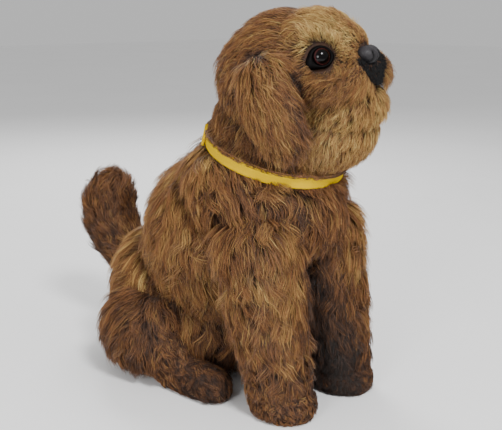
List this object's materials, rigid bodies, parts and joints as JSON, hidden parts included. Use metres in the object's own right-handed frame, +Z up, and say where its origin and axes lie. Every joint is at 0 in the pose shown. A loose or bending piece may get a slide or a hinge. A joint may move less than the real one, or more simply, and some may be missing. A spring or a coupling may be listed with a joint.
{
  "type": "interactive plush pet",
  "caption": "Sitting shaggy plush puppy with glossy eyes and a yellow collar; its head turns and nods, the chin drops and the tail wags.",
  "frame": {"origin": "on the floor, under the middle of the whole toy's box", "axes": "+Z up, the body faces -Y, +X is the toy's left"},
  "size_m": [0.168, 0.308, 0.2838],
  "materials": {
    "plush": "long shaggy pile",
    "sole_cloth": "short pile, stitched edge",
    "lip_cloth": "short pile",
    "collar_yellow": "satin gloss",
    "casing": "moulded",
    "gear_white": "moulded",
    "steel": "plain",
    "cell_jacket": "printed jacket, no text",
    "contact_metal": "plated",
    "board_green": "solder mask",
    "speaker_black": "paper and metal",
    "switch_black": "moulded",
    "button_grey": "moulded",
    "eye_brown": "polished",
    "eye_rim_black": "satin",
    "nose_grey": "grained, satin"
  },
  "bodies": {
    "torso": {"torso_plush": "plush", "front_leg_left": "plush", "front_leg_right": "plush", "hind_leg_left": "plush", "hind_leg_right": "plush", "paw_soles": "sole_cloth", "collar_band": "collar_yellow", "collar_catch": "collar_yellow", "collar_tag_loop": "collar_yellow", "torso_shell_left": "casing", "torso_shell_right": "casing", "seam_screws": "steel", "base_plate": "casing", "base_screws": "steel", "battery_box": "casing", "battery_cells": "cell_jacket", "battery_contacts": "contact_metal", "switch_housing": "casing", "circuit_board": "board_green", "speaker": "speaker_black", "neck_bearing": "casing", "neck_motor_plate": "casing", "neck_motor": "steel", "tail_bracket": "casing", "tail_pin": "steel", "tail_motor": "steel"},
    "battery_door": {"battery_door": "casing", "door_screw": "steel"},
    "power_switch": {"switch_slider": "switch_black"},
    "back_button": {"back_button": "button_grey"},
    "neck": {"neck_turntable": "casing", "neck_gear": "gear_white", "nod_motor": "steel"},
    "neck_pinion": {"neck_pinion": "gear_white"},
    "nod_pinion": {"nod_pinion": "gear_white"},
    "head": {"head_plush": "plush", "ear_left": "plush", "ear_right": "plush", "eyeball_left": "eye_brown", "eyeball_right": "eye_brown", "eye_rim_left": "eye_rim_black", "eye_rim_right": "eye_rim_black", "nose": "nose_grey", "lock_washers": "casing", "lip_patch": "lip_cloth", "skull_front": "casing", "skull_back": "casing", "nod_shaft": "steel", "nod_gear": "gear_white", "jaw_pin": "steel", "jaw_motor": "steel"},
    "jaw": {"jaw_lever": "casing", "jaw_gear": "gear_white", "chin_plush": "plush"},
    "jaw_pinion": {"jaw_pinion": "gear_white"},
    "head_button": {"head_button": "button_grey"},
    "tail": {"tail_bone": "casing", "tail_gear": "gear_white", "tail_plush": "plush"},
    "tail_pinion": {"tail_pinion": "gear_white"}
  },
  "joints": [
    {"name": "neck_turn", "type": "hinge", "parent": "torso", "child": "neck", "pos_m": [0, -0.0713, 0.1886], "axis": [0, -0.314, 0.9494], "range_deg": [-50, 20]},
    {"name": "head_nod", "type": "hinge", "parent": "neck", "child": "head", "pos_m": [0, -0.07821, 0.20949], "axis": [0.9659, 0.2457, 0.0813], "range_deg": [-12, 12]},
    {"name": "jaw_open", "type": "hinge", "parent": "head", "child": "jaw", "pos_m": [0.00243, -0.09722, 0.23806], "axis": [0.9659, 0.2457, 0.0813], "range_deg": [0, 14]},
    {"name": "tail_wag", "type": "hinge", "parent": "torso", "child": "tail", "pos_m": [0, 0.0655, 0.05], "axis": [0, -0.4226, 0.9063], "range_deg": [-25, 25]},
    {"name": "neck_pinion_spin", "type": "hinge", "parent": "torso", "child": "neck_pinion", "pos_m": [0, -0.04078, 0.16288], "axis": [0, -0.314, 0.9494], "range_deg": [-70, 170]},
    {"name": "nod_pinion_spin", "type": "hinge", "parent": "neck", "child": "nod_pinion", "pos_m": [-0.00435, -0.05982, 0.20556], "axis": [0.9659, 0.2457, 0.0813], "range_deg": [-38, 38]},
    {"name": "jaw_pinion_spin", "type": "hinge", "parent": "head", "child": "jaw_pinion", "pos_m": [-0.00194, -0.08172, 0.24319], "axis": [0.9659, 0.2457, 0.0813], "range_deg": [-36, 2]},
    {"name": "tail_pinion_spin", "type": "hinge", "parent": "torso", "child": "tail_pinion", "pos_m": [0, 0.04765, 0.0483], "axis": [0, -0.4226, 0.9063], "range_deg": [-64, 64]},
    {"name": "power_slide", "type": "slide", "parent": "torso", "child": "power_switch", "axis": [1, 0, 0], "range_m": [0, 0.004]},
    {"name": "battery_door_swing", "type": "hinge", "parent": "torso", "child": "battery_door", "pos_m": [0, -0.0127, 0.0105], "axis": [-1, 0, 0], "range_deg": [0, 100]},
    {"name": "back_button_press", "type": "slide", "parent": "torso", "child": "back_button", "axis": [0, -0.7413, -0.6712], "range_m": [0, 0.002], "stiffness_N_per_m": 300},
    {"name": "head_button_press", "type": "slide", "parent": "head", "child": "head_button", "axis": [0, 0.314, -0.9494], "range_m": [0, 0.0015], "stiffness_N_per_m": 300}
  ],
  "couplings": [
    {"joint": "neck_pinion_spin", "follows": "neck_turn", "ratio": -3.3333},
    {"joint": "nod_pinion_spin", "follows": "head_nod", "ratio": -3},
    {"joint": "jaw_pinion_spin", "follows": "jaw_open", "ratio": -2.5},
    {"joint": "tail_pinion_spin", "follows": "tail_wag", "ratio": -2.5}
  ]
}
